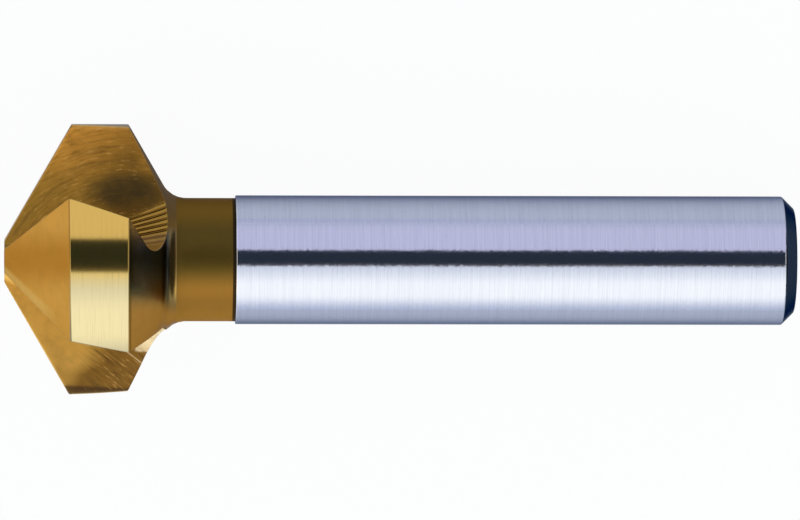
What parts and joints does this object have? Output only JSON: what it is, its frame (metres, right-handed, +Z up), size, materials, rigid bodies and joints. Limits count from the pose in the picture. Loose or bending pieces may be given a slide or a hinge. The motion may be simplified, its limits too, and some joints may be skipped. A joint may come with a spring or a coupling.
{
  "type": "countersink bit",
  "caption": "Three-flute countersink bit with a 120 degree cutting cone, a short cylindrical land, a conical back and a plain round shank, for countersinking or deburring drilled holes.",
  "frame": {"origin": "middle of the underside of the bounding box, on the surface that the tool rests on", "axes": "+Z up from the resting surface, +X along the tool's length towards the shank, +Y across it"},
  "size_m": [0.0616, 0.021, 0.0201],
  "materials": {
    "tool_steel": "ground high-speed steel, bare on the shank, with a gold-coloured titanium nitride coat on head and neck"
  },
  "bodies": {
    "root": {"countersink_bit": "tool_steel"}
  },
  "joints": []
}
